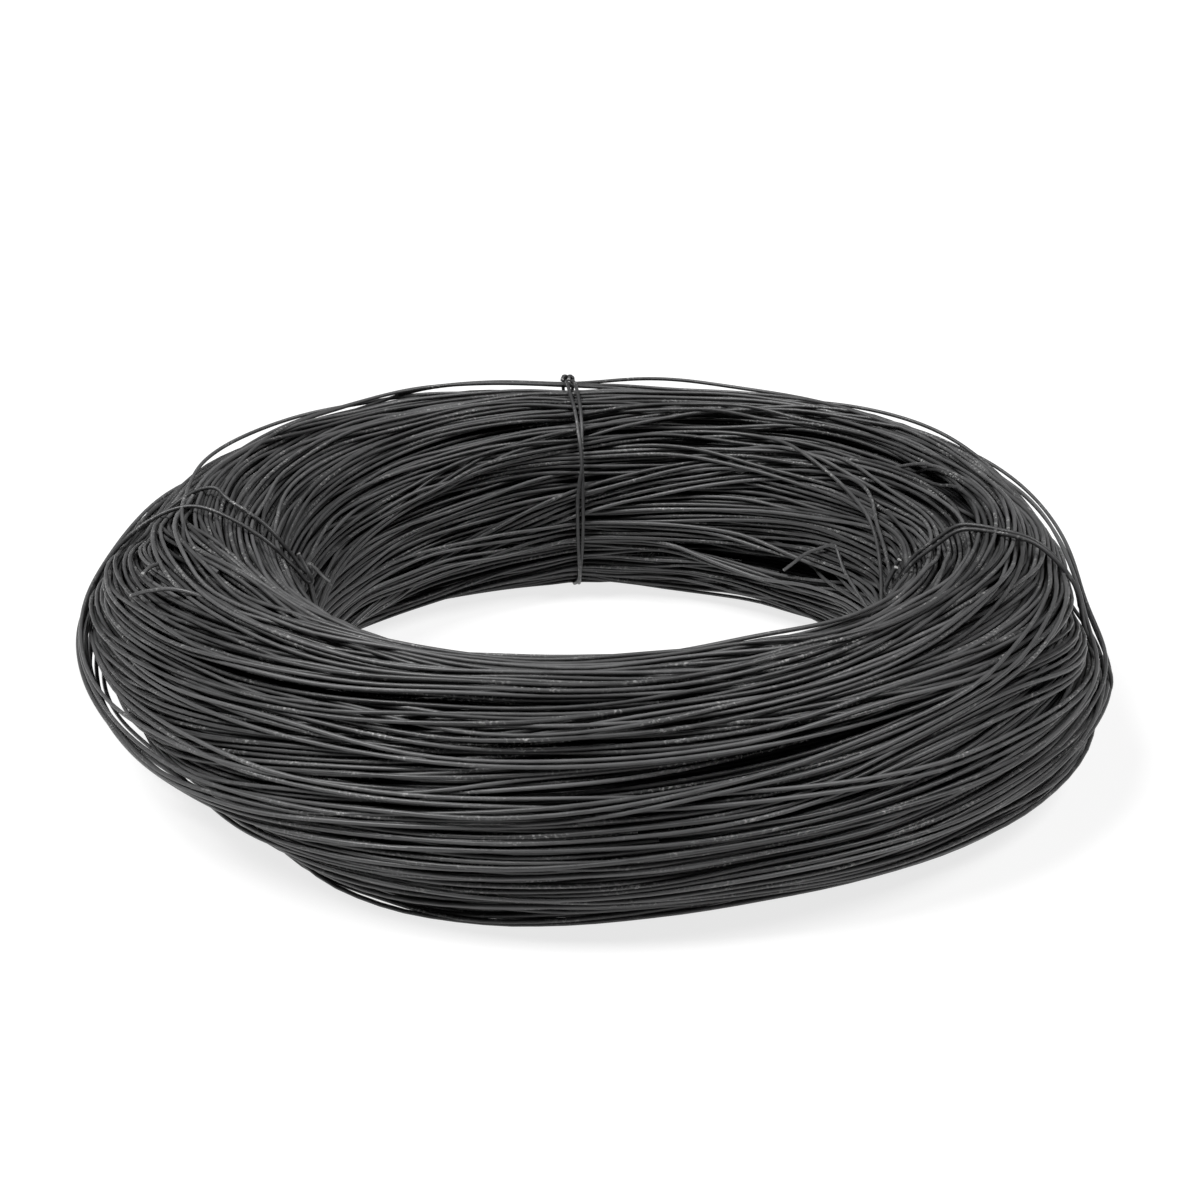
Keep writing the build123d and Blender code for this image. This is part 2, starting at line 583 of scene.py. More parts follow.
@dataclass
class WireTurns:
    """The coil's turns, laid wire by wire.

    A sway is told by its typical size in millimetres and the typical length of its waves in steps. Counts
    are told by the fewest and by one more than the most.
    """

    section: CoilSection = field(default_factory=CoilSection.packed)
    wire_radius: float = 0.8
    seed: int = 11

    # The ground under the wires, and how paths are led round its hollows
    bed_depth: float = 7.2
    bump_height: float = 0.7
    bumps_around: float = 2.0
    bumps_across: float = 7.0
    least_width: float = 0.01
    parting_width: float = 0.2
    parting_reach: float = 5.0
    parting_softness: float = 8.0

    # How the courses run and sway
    twist: float = -95.0
    twist_spread: float = 35.0
    least_twist: float = 35.0
    spare_knots: int = 4
    wire_sways: tuple[tuple[float, float], ...] = ((0.45, 110), (0.12, 40))
    course_sways: tuple[tuple[float, float], ...] = ((7.0, 330), (2.4, 150))
    course_end: int = 200
    course_tries: int = 8
    spread_share: float = 0.12
    spread_length: int = 200

    # Loose bundles, wires in grooves, guided bundles and crossing ones
    filled_to: float = -2.2
    loose_counts: tuple[int, int] = (4, 16)
    loose_gap: float = 0.14
    loose_slip: float = 3.0
    groove_count: int = 30
    groove_slip: float = 5.0
    guide_slip: float = 2.0
    guide_lead: int = 60
    guide_margin: int = 30
    crossing_count: int = 10
    crossing_spread: float = 70.0
    crossing_counts: tuple[int, int] = (1, 4)
    crossing_spacing: float = 1.75

    # The strays
    burial_run: float = 34.0
    burial_depth: float = 3.4
    stray_spacing: float = 2.2
    stray_bridge: int = 4
    stray_softness: float = 7.0
    stray_tones: tuple[float, float] = (0.3, 0.8)

    # The outline that the pile is settled to, and its limits
    outline_height: float = 0.5
    blur_around: float = 20.0
    blur_across: float = 8.0
    highest: float = 89.7
    widest: float = 204.6
    farthest_off: float = 6.0
    limit_softness: float = 0.9
    least_slope: float = 0.05

    # Which wires are shown, and how deep wires lie where their painted shade is darkest
    hidden_depth: float = 8.0
    sunk_share: float = 1.4
    hidden_gap: int = 12
    shortest_run: int = 30
    painted_shade_depth: float = 4.5
    painted_shade_softness: float = 4.0

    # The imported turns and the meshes
    core_depth: float = 6.2
    core_roughness: float = 0.5
    core_rows: int = 180
    core_rings: int = 120
    sides: int = 6
    points_per_turn: int = 120
    triangles_per_piece: int = 180_000

    def __post_init__(self) -> None:
        """Start with a bare bed."""
        self.random = np.random.default_rng(self.seed)
        self.bed = Bed(self.section, self.wire_radius)
        self.ground = self.uneven_ground()
        self.bed.rest += self.ground
        self.excess = np.zeros_like(self.ground)
        self.core = np.zeros_like(self.ground)
        self.wires: list[Wire] = []
        self.strays: list[FreeWire] = []

    def uneven_ground(self) -> np.ndarray:
        """Give the uneven ground of packed turns that the bed starts from.

        Returns:
            The height of the ground at each step and cell, in millimetres.
        """
        columns, cells = self.bed.columns, self.bed.cells
        spectrum = np.fft.rfft2(self.random.normal(size=(columns, cells)))
        around = np.fft.fftfreq(columns)[:, None] * columns
        across = np.fft.rfftfreq(cells)[None, :] * cells
        spectrum = spectrum * np.exp(-((around / self.bumps_around) ** 2))
        spectrum = spectrum * np.exp(-((across / self.bumps_across) ** 2))
        bumps = np.fft.irfft2(spectrum, (columns, cells))
        ground = -self.bed_depth + self.bump_height * bumps / bumps.std()
        for hollow in HOLLOWS:
            middle, width = hollow.at(self.bed.azimuths)
            away = (self.bed.lanes[None, :] - middle[:, None]) / (width[:, None] + self.least_width)
            ground -= hollow.depth * np.exp(-(away**2)) * (width[:, None] > 0)
        return ground

    def part(self, steps: np.ndarray, lane: np.ndarray) -> np.ndarray:
        """Lead a path round the hollows, but for one that it crosses.

        Args:
            steps: Steps of the path.
            lane: Lane at each step.

        Returns:
            The new lane at each step.
        """
        azimuth = (steps % self.bed.columns) * FULL_TURN / self.bed.columns
        moved = lane.copy()
        for hollow in HOLLOWS:
            middle, width = hollow.at(azimuth)
            away = self.bed.offset(moved, middle)
            shift = np.zeros(len(lane))
            for here in runs_of(width > self.parting_width):
                side = 1.0 if away[here].mean() > 0 else -1.0
                clear = side * away[here]
                if clear.min() < -self.parting_reach:
                    continue
                pushed = clear + width[here] * np.exp(-np.clip(clear, 0, None) / hollow.reach)
                pushed = width[here] + np.logaddexp(0, pushed - width[here])
                shift[here] = side * (pushed - clear)
            moved = moved + smooth(shift, self.parting_softness)
        return moved

    def sway(self, count: int, size: float, length: float) -> np.ndarray:
        """Give a slow random sway along a path.

        Args:
            count: Number of steps.
            size: Typical size of the sway, in millimetres.
            length: Typical length of its waves, in steps.

        Returns:
            The sway at each step.
        """
        knots = int(count / length) + self.spare_knots
        values = self.random.normal(size=knots) * size
        places = np.arange(knots) * length - self.random.uniform(0, length) - length
        return flowing(np.arange(count), list(zip(places, values)))

    def spread(self, count: int) -> np.ndarray:
        """Give how much farther apart a bundle's wires lie at each step, as a share."""
        return self.spread_share * np.abs(self.sway(count, 1.0, self.spread_length))

    def run_bundle(self, steps: np.ndarray, lane: np.ndarray, spacing: np.ndarray | float, count: int,
                   slip: float) -> None:
        """Lay the wires of a bundle side by side, from its one side to its other.

        Args:
            steps: Steps of the bundle's course.
            lane: Lane of the middle of the bundle, at each step.
            spacing: Distance between the wires at each step, in millimetres.
            count: Number of wires.
            slip: How far each wire may slip sideways into a groove, in millimetres.
        """
        order = np.arange(count) - (count - 1) / 2
        if self.random.random() < EVEN_CHANCE:
            order = order[::-1]
        for place in order:
            path = lane + place * spacing
            for size, length in self.wire_sways:
                path = path + self.sway(len(lane), size, length)
            path = self.bed.slip(steps, self.part(steps, path), slip)
            height = self.bed.settle(steps, path)
            self.bed.lay(steps, path, height)
            self.wires.append(Wire(steps, path, height))

    def loose_course(self, spread: float) -> tuple[np.ndarray, np.ndarray]:
        """Give a random course from the base up one side, over the crown and down to the base again.

        Args:
            spread: How much the twist differs from course to course, in millimetres a turn.

        Returns:
            The steps, and the lane at each step.
        """
        girth, columns = self.bed.girth, self.bed.columns
        twist = self.random.normal(self.twist, spread)
        if abs(twist) < self.least_twist:
            twist = -self.least_twist
        count = int(girth / abs(twist) * columns)
        steps = np.arange(count) + int(self.random.integers(columns))
        lane = np.linspace(0, girth, count) if twist > 0 else np.linspace(girth, 0, count)
        sway = sum(self.sway(count, size, length) for size, length in self.course_sways)
        ends = np.minimum(1, np.minimum(np.arange(count), np.arange(count)[::-1]) / self.course_end)
        return steps, lane + sway * ends

    def fill_grooves(self) -> None:
        """Lay single wires, which slip into the deepest grooves of the pile."""
        for _ in range(self.groove_count):
            courses = [self.loose_course(self.twist_spread) for _ in range(self.course_tries)]
            steps, lane = min(courses, key=lambda course: self.bed.height_at(*course).mean())
            self.run_bundle(steps, lane, 0.0, 1, self.groove_slip)

    def crowding(self, steps: np.ndarray, lane: np.ndarray, count: int) -> float:
        """Give how crowded the bed is already where a bundle would lie.

        Args:
            steps: Steps of the bundle's course.
            lane: Lane of its middle at each step.
            count: Number of its wires.

        Returns:
            The crowding, lowest where the bed lies deepest.
        """
        crowding = 0.0
        for side in (-count / 2, 0, count / 2):
            crowding -= np.mean(np.clip(-self.bed.height_at(steps, lane + side), 0, None) ** 2)
        return crowding

    def lay_loose(self) -> None:
        """Lay random bundles, each where the bed is low, until the bed is filled."""
        while self.bed.rest.mean() < self.filled_to:
            bundles = []
            for _ in range(self.course_tries):
                course = self.loose_course(self.twist_spread)
                bundles.append((*course, int(self.random.integers(*self.loose_counts))))
            steps, lane, count = min(bundles, key=lambda bundle: self.crowding(*bundle))
            spread = self.loose_gap + self.spread(len(lane))
            self.run_bundle(steps, lane, 2 * self.wire_radius * (1 + spread), count, self.loose_slip)

    def lay_guide(self, guide: Guide) -> None:
        """Lay a bundle that follows a guide where it is seen, and the twist elsewhere.

        Args:
            guide: The bundle.
        """
        first, last = guide.course[0], guide.course[-1]
        lead, margin = self.guide_lead, self.guide_margin
        rate = self.twist / FULL_TURN
        before = first[0] - max((first[1] - self.bed.girth) / rate, margin)
        after = last[0] + max(-last[1] / rate, margin)
        knots = [(before, self.bed.girth)]
        if first[0] - lead > before + margin:
            knots.append((first[0] - lead, first[1] - rate * lead))
        knots += list(guide.course)
        if last[0] + lead < after - margin:
            knots.append((last[0] + lead, last[1] + rate * lead))
        knots.append((after, 0.0))
        per_degree = self.bed.columns / FULL_TURN
        steps = np.arange(int(before * per_degree), int(after * per_degree))
        lane = flowing(steps / per_degree, knots)
        spacing = guide.spacing * (1 + self.spread(len(lane)))
        self.run_bundle(steps, lane, spacing, guide.count, self.guide_slip)

    def lay_crossing(self) -> None:
        """Lay a few wires side by side that run across the others."""
        steps, lane = self.loose_course(self.crossing_spread)
        count = int(self.random.integers(*self.crossing_counts))
        self.run_bundle(steps, lane, self.crossing_spacing, count, self.guide_slip)

    def lay_stray(self, stray: Stray) -> None:
        """Lay a wire that stands off the coil for a while.

        Args:
            stray: The wire.
        """
        knots = list(stray.course)
        slope = self.twist / FULL_TURN
        run = self.burial_run * (1 if knots[-1][0] > knots[0][0] else -1)
        if knots[0][2] == 0:
            knots.insert(0, (knots[0][0] - run, knots[0][1] - run * slope, -self.burial_depth))
        if knots[-1][2] == 0:
            knots.append((knots[-1][0] + run, knots[-1][1] + run * slope, -self.burial_depth))
        scale = (math.radians(self.section.outer_radius), 1.0, 1.0)
        azimuth, lane, lift = route_points(np.array(knots, float), scale, self.stray_spacing).T
        height = self.bed.drape(azimuth, lane, self.stray_bridge, self.stray_bridge) + lift
        cut_ends = (stray.course[0][2] > 0, stray.course[-1][2] > 0)
        self.strays.append(FreeWire(azimuth, lane, height, cut_ends))

    def lay_all(self) -> None:
        """Lay every wire of the coil, then settle the whole of it to the outline."""
        self.lay_loose()
        self.fill_grooves()
        for guide in GUIDES:
            if not guide.late:
                self.lay_guide(guide)
        for _ in range(self.crossing_count):
            self.lay_crossing()
        for guide in GUIDES:
            if guide.late:
                self.lay_guide(guide)
        for stray in STRAYS:
            self.lay_stray(stray)
        change = self.outline_change()
        self.excess = self.blurred(self.bed.rest) - change
        self.core = change - self.core_depth + self.core_roughness * (self.ground + self.bed_depth)

    def blurred(self, values: np.ndarray) -> np.ndarray:
        """Blur a map of the bed.

        Args:
            values: One value for each step and cell.

        Returns:
            The blurred values.
        """
        columns, cells = values.shape
        around = np.fft.fftfreq(columns)[:, None] * self.blur_around
        across = np.fft.rfftfreq(cells)[None, :] * self.blur_across / self.bed.cell
        gain = np.exp(-2 * math.pi**2 * (around**2 + across**2))
        return np.fft.irfft2(np.fft.rfft2(values) * gain, values.shape)

    def outline_change(self) -> np.ndarray:
        """Give how far the wires' outline stands from the turned one, over the bed.

        Returns:
            The distance at each step and cell, in millimetres.
        """
        change = np.full(self.bed.rest.shape, self.outline_height)
        for swell in SWELLS:
            around = degrees_from(self.bed.azimuths, swell.azimuth) / swell.length
            across = self.bed.offset(self.bed.lanes, swell.lane) / swell.width
            change += swell.height * np.exp(-(around[:, None] ** 2) - across[None, :] ** 2)
        return change

    def waist_depth(self, azimuth: np.ndarray) -> np.ndarray:
        """Give how far the ties press the turns in.

        Args:
            azimuth: Azimuths to look at, in degrees.

        Returns:
            The depth at each azimuth, in millimetres.
        """
        depth = np.zeros(len(azimuth))
        middle = math.radians((self.section.bore_radius + self.section.outer_radius) / 2)
        for waist in WAISTS:
            away = degrees_from(azimuth, waist.azimuth) * middle
            depth += waist.depth * np.exp(-((away / waist.half_width) ** 2))
        return depth

    def spots(self, azimuth: np.ndarray, lane: np.ndarray, height: np.ndarray,
              softness: float = 0.0) -> np.ndarray:
        """Turn places on the bed into points in the coil's frame.

        Args:
            azimuth: Azimuth of each point, in degrees.
            lane: Lane of each point.
            height: Height of each point on the bed as laid.
            softness: How gently a free wire bends, in points, or 0 for a wire that lies on others.

        Returns:
            The points in millimetres, one row each.
        """
        bed = self.bed
        low, share = bed.cell_of(lane)
        share = share[:, None]
        high = (low + 1) % bed.cells
        at = bed.places[low] * (1 - share) + bed.places[high] * share
        out = bed.outwards[low] * (1 - share) + bed.outwards[high] * share
        height = height - self.excess[bed.column_of(azimuth), low] - self.waist_depth(azimuth)
        room_out = (self.widest - at[:, 0]) / np.clip(out[:, 0], self.least_slope, None)
        room_up = (self.highest - at[:, 1]) / np.clip(out[:, 1], self.least_slope, None)
        room = np.minimum(np.minimum(room_out, room_up), self.farthest_off)
        height = room - self.limit_softness * np.logaddexp(0, (room - height) / self.limit_softness)
        if softness:
            height = smooth(height, softness)
        radial = at[:, 0] + out[:, 0] * height
        up = np.maximum(at[:, 1] + out[:, 1] * height, self.wire_radius)
        angle = np.radians(azimuth)
        return np.stack([radial * np.cos(angle), radial * np.sin(angle), up], -1)

    def shown_runs(self, wire: Wire) -> list[slice]:
        """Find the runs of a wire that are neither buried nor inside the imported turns.

        Args:
            wire: The wire.

        Returns:
            The runs of its steps, in order.
        """
        buried = self.bed.height_at(wire.steps, wire.lane) - wire.height
        column, cell = wire.steps % self.bed.columns, (wire.lane / self.bed.cell).astype(int) % self.bed.cells
        above = wire.height - self.excess[column, cell] - self.core[column, cell]
        shown = (buried < self.hidden_depth) & (above > -self.sunk_share * self.wire_radius)
        runs = runs_of(highest_near(shown.astype(float), self.hidden_gap) > 0)
        return [run for run in runs if run.stop - run.start > self.shortest_run]

    def shown_paths(self) -> list[WirePath]:
        """Give the paths of the wires that can be seen.

        Returns:
            The paths of the turns, then those of the strays.
        """
        stride = self.bed.columns // self.points_per_turn
        paths = []
        for wire in self.wires:
            tone = float(self.random.uniform())
            # Painted shade: how far each point lies under the pile's surface, which darkens the wire's colour
            # where shade falls deep in the pile
            buried = self.bed.height_at(wire.steps, wire.lane) - wire.height - 2 * self.wire_radius
            buried = np.clip(smooth(buried, self.painted_shade_softness) / self.painted_shade_depth, 0, 1)
            for run in self.shown_runs(wire):
                azimuth = wire.steps[run] * FULL_TURN / self.bed.columns
                points = self.spots(azimuth, wire.lane[run], wire.height[run])
                paths.append(WirePath(points[::stride], tone, buried[run][::stride]))
        for stray in self.strays:
            softness = 0.0 if any(stray.cut_ends) else self.stray_softness
            points = self.spots(stray.azimuth % FULL_TURN, stray.lane, stray.height, softness)
            tone = float(self.random.uniform(*self.stray_tones))
            paths.append(WirePath(points, tone, np.zeros(len(points)), stray.cut_ends))
        return paths

    def build(self, tubes: "TubeTree", finish: bpy.types.Material) -> list[bpy.types.Object]:
        """Lay the wires, and make the pieces of those that can be seen.

        Args:
            tubes: Tree that gives every path its round wire.
            finish: Material of the wires.

        Returns:
            The pieces, none of them with more triangles than one piece may have.
        """
        self.lay_all()
        paths = self.shown_paths()
        sizes = [len(path.points) for path in paths]
        log.info("wires %d, runs %d, points %d", len(self.wires), len(paths), sum(sizes))
        limit = self.triangles_per_piece // (2 * self.sides)
        groups: list[list[WirePath]] = [[]]
        room = limit
        for path, size in zip(paths, sizes):
            if size > room:
                groups.append([])
                room = limit
            groups[-1].append(path)
            room -= size
        return [
            tubes.build(f"turns_{number}", group, self.wire_radius, self.sides, finish)
            for number, group in enumerate(groups, 1)
        ]

    def build_core(self, finish: bpy.types.Material) -> bpy.types.Object:
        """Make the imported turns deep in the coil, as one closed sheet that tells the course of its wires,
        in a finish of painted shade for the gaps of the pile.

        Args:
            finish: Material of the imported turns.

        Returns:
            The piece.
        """
        rows, rings = self.core_rows, self.core_rings
        row, ring = np.divmod(np.arange(rows * rings), rings)
        azimuth = row * FULL_TURN / rows
        lane = ring * self.bed.girth / rings
        place = (row * self.bed.columns // rows, (lane / self.bed.cell).astype(int))
        points = self.spots(azimuth, lane, (self.core + self.excess)[place]) * METRES_PER_MM
        next_row, next_ring = (row + 1) % rows, (ring + 1) % rings
        faces = np.stack([row * rings + ring, row * rings + next_ring,
                          next_row * rings + next_ring, next_row * rings + ring], -1)
        mesh = bpy.data.meshes.new("packed_turns")
        mesh.from_pydata(points.tolist(), [], faces.tolist())
        lane_step = self.bed.girth / rings
        drift = self.twist / rows
        across = np.stack([lane - row * drift, lane + lane_step - row * drift,
                           lane + lane_step - (row + 1) * drift, lane - (row + 1) * drift], -1)
        layer = mesh.attributes.new("across", "FLOAT", "CORNER")
        layer.data.foreach_set("value", across.astype(np.float32).ravel())
        mesh.materials.append(finish)
        mesh.shade_smooth()
        return new_object(mesh.name, mesh)


@dataclass
class WireTie:
    """Doubled wire tied round the coil: one wire whose two ends hook through the eye of its fold.

    Its route starts and ends at the knot. Its strands are told by the share of the way round the section
    and the side of each strand, in millimetres, and its tips by run, side and lift. The bends of the hooks
    are told by run and lift, in bend radii, and the points of the fold by the run that is left before the
    middle of the eye, and by shares of the eye's side and of the bend.
    """

    name: str
    azimuth: float
    knot_lane: float
    over: int
    strands: tuple[tuple[float, float, float], ...]
    tips: tuple[tuple[float, float, float], tuple[float, float, float]]
    radius: float = 0.8
    sides: int = 10
    bend: float = 1.75
    knot_lift: float = 0.0
    knot_reach: float = 12.0
    spacing: float = 1.1
    strand_step: float = 6.0
    end_side: float = 0.5
    tip_rise: float = 0.3
    hook_run: float = 1.0
    hook_bends: tuple[tuple[float, float], ...] = ((-0.75, 1.65), (-1.0, 1.0), (-0.75, 0.35))
    hook_seat: float = 0.05
    fold: tuple[tuple[float, float, float], ...] = ((3.6, 1.0, 0.5), (1.6, 0.85, 1.0), (0.1, 0.4, 1.0))
    tautness: int = 7
    softness_share: float = 0.8
    seat: float = 0.3
    tone: float = 0.5

    def half(self, hand: int, girth: float) -> list[tuple[float, float, float]]:
        """Give half of the tie's route.

        Args:
            hand: Which half it is, -1 or 1.
            girth: Length of the way round the section, in millimetres.

        Returns:
            Knots of run, side and lift, from the tip of the half's end to the middle of the eye.
        """
        shares = [knot[0] for knot in self.strands]
        sides = [knot[1 if hand < 0 else 2] for knot in self.strands]
        run = np.arange(self.strand_step, girth - self.strand_step, self.strand_step)
        side = flowing(run / girth, list(zip(shares, sides)))
        apart = flowing(run / girth, [(knot[0], knot[2] - knot[1]) for knot in self.strands])
        lift = np.sqrt(np.clip((2 * self.radius) ** 2 - apart**2, 0, None)) if hand > 0 else 0 * run
        tip_run, tip_side, tip_lift = self.tips[0 if hand < 0 else 1]
        bend, end, eye = self.bend, side[0] - hand * self.end_side, side[-1]
        return [
            (tip_run, tip_side, tip_lift),
            (tip_run / 2, (tip_side + end) / 2, 2 * bend + self.tip_rise),
            (self.hook_run, end, 2 * bend),
            *((along * bend, end, up * bend) for along, up in self.hook_bends),
            (self.hook_run, end, self.hook_seat * bend),
            *zip(run, side, lift),
            *((girth - left, across * eye, up * bend) for left, across, up in self.fold),
        ]

    def route(self, turns: WireTurns) -> np.ndarray:
        """Give the points of the whole tie.

        Args:
            turns: The turns that it is tied round.

        Returns:
            The points in millimetres, one row each.
        """
        bed = turns.bed
        knots = np.array(self.half(-1, bed.girth) + self.half(1, bed.girth)[::-1])
        run, side, lift = route_points(knots, (1.0, 1.0, 1.0), self.spacing).T
        away = np.minimum(run, bed.girth - run)
        lift += self.knot_lift * np.exp(-((away / self.knot_reach) ** 2))
        lane = self.knot_lane + self.over * run
        radial = bed.places[(lane / bed.cell).astype(int) % bed.cells][:, 0]
        azimuth = self.azimuth + np.degrees(side / radial)
        height = bed.drape(azimuth, lane, self.tautness, self.softness_share * self.tautness)
        return turns.spots(azimuth % FULL_TURN, lane, height - self.seat + lift)

    def build(self, turns: WireTurns, tubes: "TubeTree", finish: bpy.types.Material) -> bpy.types.Object:
        """Make the tie's piece.

        Args:
            turns: The turns that it is tied round.
            tubes: Tree that gives every path its round wire.
            finish: Material of the tie.

        Returns:
            The piece.
        """
        route = self.route(turns)
        path = WirePath(route, self.tone, np.zeros(len(route)), (True, True))
        return tubes.build(self.name + "_wire", [path], self.radius, self.sides, finish)


TIES = (
    WireTie("tie_left", 179.0, 92.0, 1, (
        (0, 2, 9), (0.03, 4, 17.5), (0.067, 4, 22.5), (0.095, 1, 20), (0.12, -2, 17), (0.147, -8, 13.5),
        (0.17, -14, 10.5), (0.19, -13.5, 8.5), (0.213, -9.5, 8), (0.24, 0, 9), (0.269, 7.5, 11.5),
        (0.3, 10.5, 13), (0.35, 10, 12.5), (0.43, 6, 9), (0.55, 1.5, 4.2), (0.75, -1.2, 1.6), (0.9, -1, 2.6),
        (1, 1.5, 6.5)), tips=((-12.0, -16.0, 4.3), (9.0, 11.0, 4.3))),
    WireTie("tie_back", 94.0, 160.0, -1, (
        (0, -0.5, 2.4), (0.085, -1.9, 1.5), (0.132, -2.3, 0.2), (0.174, -2.3, -0.7), (0.203, -1.9, -1.3),
        (0.227, -1.9, -1.7), (0.245, -1.9, -0.7), (0.28, -1.9, 0.4), (0.32, -1.9, 0.4), (0.36, -1.5, 0.1),
        (0.39, -1.1, -0.4), (0.425, -1.0, -0.8), (0.47, -1.2, 0.5), (0.65, -0.8, 0.9), (0.8, -0.9, 1.4),
        (0.95, -1.3, 2.6), (1, -1.6, 3.5)), tips=((3.2, 1.0, 1.4), (3.4, 4.0, 1.4)), bend=1.5,
        knot_lift=3.9),
    WireTie("tie_right", 346.0, 95.0, 1, (
        (0, -1.2, 3.5), (0.05, 0.6, 6.8), (0.09, 0.8, 6.6), (0.13, 0.4, 5.0), (0.17, -0.4, 3.0),
        (0.25, -1.3, 1.4), (0.4, -1.8, 0.8), (0.6, -1.2, 1.2), (0.85, -1.6, 1.8), (1, -2.5, 2.5)),
        tips=((9.0, -2.0, 4.3), (10.0, 4.0, 4.3))),
)


def add_sockets(tree: bpy.types.NodeTree, in_out: str, kinds: dict[str, str]) -> dict[str, str]:
    """Give a node tree its named inputs or outputs.

    Args:
        tree: The tree.
        in_out: INPUT or OUTPUT.
        kinds: Kind of each socket, by its name.

    Returns:
        The identifier of each socket, by its name.
    """
    identifiers = {}
    for name, kind in kinds.items():
        socket = tree.interface.new_socket(name, in_out=in_out, socket_type="NodeSocket" + kind)
        identifiers[name] = socket.identifier
    return identifiers


@dataclass
class TubeTree:
    """Geometry Nodes tree that gives every path its round wire.

    The tone shift is how far along the streaks a lighter wire starts, so that no two wires look the same.
    """

    name: str = "wire_tube"
    tone_shift: float = 7.31

    def __post_init__(self) -> None:
        """Build the tree once."""
        self.tree = bpy.data.node_groups.new(self.name, "GeometryNodeTree")
        kinds = {"Paths": "Geometry", "Wire Radius": "Float", "Wire Sides": "Int", "Finish": "Material"}
        self.inputs = add_sockets(self.tree, "INPUT", kinds)
        add_sockets(self.tree, "OUTPUT", {"Wires": "Geometry"})
        nodes = self.tree.nodes
        given = nodes.new("NodeGroupInput")
        made = nodes.new("NodeGroupOutput")
        curve = nodes.new("GeometryNodeMeshToCurve")
        ring = nodes.new("GeometryNodeCurvePrimitiveCircle")
        sweep = nodes.new("GeometryNodeCurveToMesh")
        sweep.inputs["Fill Caps"].default_value = True
        shade = nodes.new("GeometryNodeSetShadeSmooth")
        solid = nodes.new("GeometryNodeRealizeInstances")
        paint = nodes.new("GeometryNodeSetMaterial")
        for giver, output, taker, socket in (
            (given, "Paths", curve, "Mesh"),
            (given, "Wire Radius", ring, "Radius"),
            (given, "Wire Sides", ring, "Resolution"),
            (curve, "Curve", sweep, "Curve"),
            (ring, "Curve", sweep, "Profile Curve"),
            (sweep, "Mesh", shade, "Geometry"),
            (shade, "Geometry", solid, "Geometry"),
            (solid, "Geometry", paint, "Geometry"),
            (given, "Finish", paint, "Material"),
            (paint, "Geometry", made, "Wires"),
        ):
            self.tree.links.new(giver.outputs[output], taker.inputs[socket])

    def path_mesh(self, name: str, paths: list[WirePath]) -> bpy.types.Mesh:
        """Make the bare lines of some paths, with what the finish reads from them.

        Args:
            name: Name of the mesh.
            paths: Path of each wire.

        Returns:
            The mesh, which has no faces.
        """
        points = np.concatenate([path.points for path in paths]) * METRES_PER_MM
        ends = np.cumsum([len(path.points) for path in paths])
        first = np.setdiff1d(np.arange(len(points)), ends - 1)
        edges = np.stack([first, first + 1], -1)
        mesh = bpy.data.meshes.new(name)
        mesh.vertices.add(len(points))
        mesh.vertices.foreach_set("co", points.astype(np.float32).ravel())
        mesh.edges.add(len(edges))
        mesh.edges.foreach_set("vertices", edges.astype(np.int32).ravel())
        marks = {
            "run": [path.run() * METRES_PER_MM + self.tone_shift * path.tone for path in paths],
            "tone": [np.full(len(path.points), path.tone) for path in paths],
            # The depth mark drives the painted shade on the deeper wires
            "depth": [path.shade_depths for path in paths],
            "cut": [path.cuts() for path in paths],
        }
        for label, values in marks.items():
            layer = mesh.attributes.new(label, "FLOAT", "POINT")
            layer.data.foreach_set("value", np.concatenate(values).astype(np.float32))
        mesh.update()
        return mesh

    def build(self, name: str, paths: list[WirePath], radius: float, sides: int,
              finish: bpy.types.Material) -> bpy.types.Object:
        """Make one plain mesh of round wires from paths.

        Args:
            name: Name of the piece.
            paths: Path of each wire.
            radius: Radius of the wire, in millimetres.
            sides: Number of flat sides that stand for the round wire.
            finish: Material of the wires.

        Returns:
            The piece.
        """
        mesh = self.path_mesh(name, paths)
        piece = new_object(name, mesh)
        modifier = piece.modifiers.new("Wire", "NODES")
        modifier.node_group = self.tree
        modifier[self.inputs["Wire Radius"]] = radius * METRES_PER_MM
        modifier[self.inputs["Wire Sides"]] = sides
        modifier[self.inputs["Finish"]] = finish
        bpy.context.view_layer.update()
        shown = piece.evaluated_get(bpy.context.evaluated_depsgraph_get())
        solid = bpy.data.meshes.new_from_object(shown)
        piece.modifiers.clear()
        piece.data = solid
        bpy.data.meshes.remove(mesh)
        solid.name = name
        return piece


